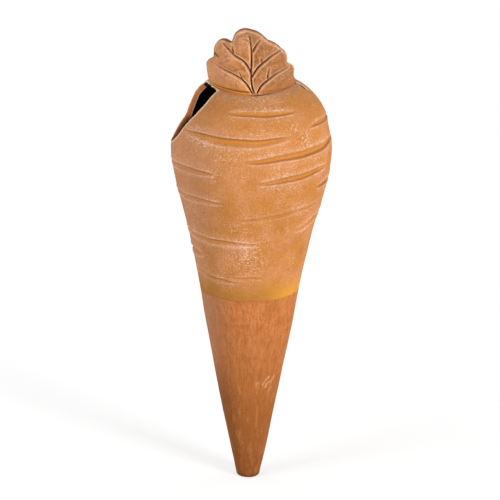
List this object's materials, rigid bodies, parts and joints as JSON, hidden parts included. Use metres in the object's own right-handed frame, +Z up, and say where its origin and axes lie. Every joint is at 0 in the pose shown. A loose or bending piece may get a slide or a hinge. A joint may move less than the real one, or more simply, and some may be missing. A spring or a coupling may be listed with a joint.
{
  "type": "self watering spike",
  "caption": "Hollow terracotta watering spike shaped as a carrot: creased coated reservoir with a side fill mouth, veined leaf crown and raw porous cone for the soil.",
  "frame": {"origin": "centre of the blunt tip's flat end, on the spike's axis", "axes": "+Z up along the spike's axis from tip to crown, -Y the front that the leaf faces, -X the side with the fill mouth"},
  "size_m": [0.0744, 0.0744, 0.2216],
  "materials": {
    "raw_clay": "unglazed, scraped, matt",
    "slip_coat": "ochre slip with a rubbed pale wash, matt",
    "leaf_coat": "ochre slip with a rubbed pale wash, matt",
    "lute": "fired joining slip, matt"
  },
  "bodies": {
    "root": {"porous_spike": "raw_clay", "carrot_body": "slip_coat", "spike_lute": "lute", "crown_leaf": "leaf_coat", "leaf_lute": "lute"}
  },
  "joints": []
}
